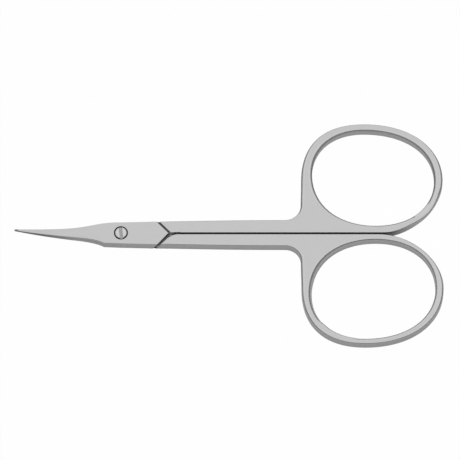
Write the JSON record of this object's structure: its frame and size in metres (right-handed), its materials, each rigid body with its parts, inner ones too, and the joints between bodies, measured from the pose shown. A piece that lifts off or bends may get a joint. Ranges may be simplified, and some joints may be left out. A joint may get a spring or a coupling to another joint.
{
  "type": "cuticle scissors",
  "caption": "Small all-metal cuticle scissors: slim upturned blades, crossed joint plates on a slotted pivot screw, straight shanks and oval finger rings.",
  "frame": {"origin": "on the pivot axis, in the plane of the flat back face that the closed scissors lie on", "axes": "+X from the pivot to the finger rings, so the blades point along -X; +Y to the ring of the front half; +Z along the pivot axis out of the front face, the way the blades curve up and the screw's head faces"},
  "size_m": [0.09, 0.049, 0.0051],
  "materials": {
    "front_steel": "satin",
    "back_steel": "satin",
    "screw_steel": "fine satin, nearly polished"
  },
  "bodies": {
    "back": {"back_half": "back_steel", "pivot_screw": "screw_steel"},
    "front": {"front_half": "front_steel"}
  },
  "joints": [
    {"name": "pivot", "type": "hinge", "parent": "back", "child": "front", "pos_m": [0, 0, 0], "axis": [0, 0, 1], "range_deg": [0, 130]}
  ]
}
